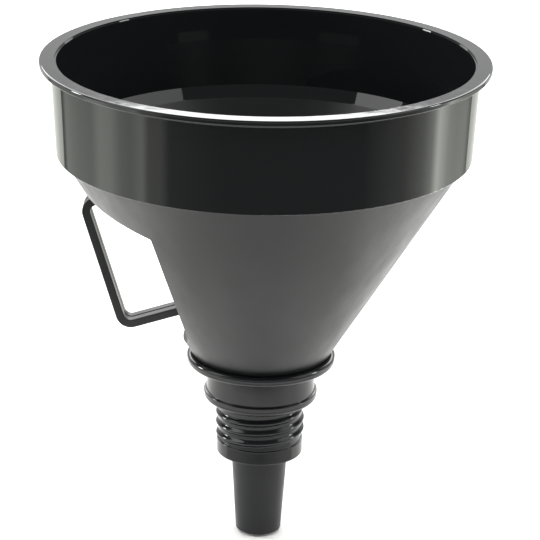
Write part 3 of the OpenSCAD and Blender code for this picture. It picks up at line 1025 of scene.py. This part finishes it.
def build_studio(s):
    """Camera, floor, softboxes and the room's light."""
    scene = bpy.context.scene
    scene.view_settings.view_transform = "Standard"
    camera = bpy.data.objects.new("camera", bpy.data.cameras.new("camera"))
    camera.data.lens = s.lens
    camera.data.sensor_width = SENSOR
    camera.data.clip_start, camera.data.clip_end = 0.01, 100
    pitch, yaw, roll = (math.radians(a) for a in (s.pitch, s.yaw, s.roll))
    camera.matrix_world = (
        Matrix.Translation((0, -s.camera_back, s.camera_up))
        @ Matrix.Rotation(-yaw, 4, "Z")
        @ Matrix.Rotation(math.pi / 2 - pitch, 4, "X")
        @ Matrix.Rotation(roll, 4, "Z")
    )
    scene.collection.objects.link(camera)
    scene.camera = camera

    half = s.floor_half
    low = NOZZLE_LOW.z - s.gap
    mesh = bpy.data.meshes.new("floor")
    mesh.from_pydata(
        [(-half, -half, low), (half, -half, low), (half, half, low), (-half, half, low)],
        [],
        [(0, 1, 2, 3)],
    )
    floor = bpy.data.objects.new("floor", mesh)
    floor.data.materials.append(floor_material(s.floor_colour))
    scene.collection.objects.link(floor)

    card_ring("cards", s.cards_inner, s.cards_outer, low + s.gap / 2, CARDS)
    card_ring("back_cards", s.back_inner, s.cards_outer, low + s.gap / 4, BACK)
    card_ring("mat", s.mat_inner, s.mat_outer, low + s.gap / 2, MAT)

    for name, spot, aim, width, height, power, mirrored in LIGHTS:
        data = bpy.data.lights.new(name, "AREA")
        data.shape = "RECTANGLE"
        data.size, data.size_y = width, height
        data.energy = power
        light = bpy.data.objects.new(name, data)
        light.matrix_world = Matrix.Translation(spot) @ (
            (Vector(aim) - Vector(spot)).to_track_quat("-Z", "Y").to_matrix().to_4x4()
        )
        light.visible_camera = False
        light.visible_glossy = mirrored
        scene.collection.objects.link(light)

    world = bpy.data.worlds.new("studio")
    world.use_nodes = True
    tree = world.node_tree
    tree.nodes.clear()
    ray = add(tree, "ShaderNodeTexCoord").outputs["Generated"]
    up = add(tree, "ShaderNodeSeparateXYZ", {0: ray}).outputs["Z"]
    # pale walls that fade into a dim ceiling
    glow = add(
        tree,
        "ShaderNodeMapRange",
        {
            "Value": up,
            "From Min": math.sin(s.wall_top),
            "From Max": math.sin(s.ceiling_low),
            "To Min": 1.0,
            "To Max": s.ceiling_light,
        },
    )
    sky = add(tree, "ShaderNodeBackground", {"Strength": glow.outputs["Result"]})
    sky.inputs["Color"].default_value = (1, 1, 1, 1)
    add(tree, "ShaderNodeOutputWorld", {"Surface": sky.outputs[0]})
    scene.world = world


# ---------------------------------------------------------------- operators


class FUNNEL_OT_studio(bpy.types.Operator):
    """Set up the camera, the floor and the light"""

    bl_idname = "funnel.studio"
    bl_label = "Studio"

    def execute(self, context):
        build_studio(context.scene.funnel_studio)
        return {"FINISHED"}


class FUNNEL_OT_bowl(bpy.types.Operator):
    """Finish the bowl and its handle"""

    bl_idname = "funnel.bowl"
    bl_label = "Bowl and handle"

    def execute(self, context):
        material = build_bowl(context.scene.funnel_bowl)
        build_handle(context.scene.funnel_handle, material)
        return {"FINISHED"}


class FUNNEL_OT_coupling(bpy.types.Operator):
    """Build the outlet coupling with its hose thread"""

    bl_idname = "funnel.coupling"
    bl_label = "Outlet coupling"

    def execute(self, context):
        build_coupling(context.scene.funnel_outlet)
        return {"FINISHED"}


class FUNNEL_OT_nozzle(bpy.types.Operator):
    """Build the tapered nozzle"""

    bl_idname = "funnel.nozzle"
    bl_label = "Nozzle"

    def execute(self, context):
        build_nozzle(context.scene.funnel_outlet)
        return {"FINISHED"}


class FUNNEL_OT_seal(bpy.types.Operator):
    """Build the sealing ring"""

    bl_idname = "funnel.seal"
    bl_label = "Seal ring"

    def execute(self, context):
        build_seal(context.scene.funnel_outlet)
        return {"FINISHED"}


class FUNNEL_OT_strainer(bpy.types.Operator):
    """Build the strainer's frame and weave its gauze"""

    bl_idname = "funnel.strainer"
    bl_label = "Strainer"

    def execute(self, context):
        build_strainer(context.scene.funnel_strainer)
        build_gauze(context.scene.funnel_strainer)
        return {"FINISHED"}


class FUNNEL_PT_sidebar(bpy.types.Panel):
    """Lists the pieces of the funnel"""

    bl_idname = "FUNNEL_PT_sidebar"
    bl_label = "Filling funnel"
    bl_space_type = "VIEW_3D"
    bl_region_type = "UI"
    bl_category = "Funnel"

    def draw(self, context):
        for operator in OPERATORS:
            self.layout.operator(operator.bl_idname)


OPERATORS = (
    FUNNEL_OT_studio,
    FUNNEL_OT_bowl,
    FUNNEL_OT_coupling,
    FUNNEL_OT_nozzle,
    FUNNEL_OT_seal,
    FUNNEL_OT_strainer,
)


def register():
    """Registers the settings, the operators and the panel."""
    for cls in (*SETTINGS.values(), *OPERATORS, FUNNEL_PT_sidebar):
        bpy.utils.register_class(cls)
    for name, group in SETTINGS.items():
        setattr(bpy.types.Scene, name, bpy.props.PointerProperty(type=group))


def unregister():
    """Removes everything that register() added."""
    for name in SETTINGS:
        delattr(bpy.types.Scene, name)
    for cls in (FUNNEL_PT_sidebar, *reversed(OPERATORS), *reversed(SETTINGS.values())):
        bpy.utils.unregister_class(cls)


def main():
    """Builds every piece in order."""
    register()
    for operator in OPERATORS:
        group, name = operator.bl_idname.split(".")
        getattr(getattr(bpy.ops, group), name)()


if __name__ == "__main__":
    main()
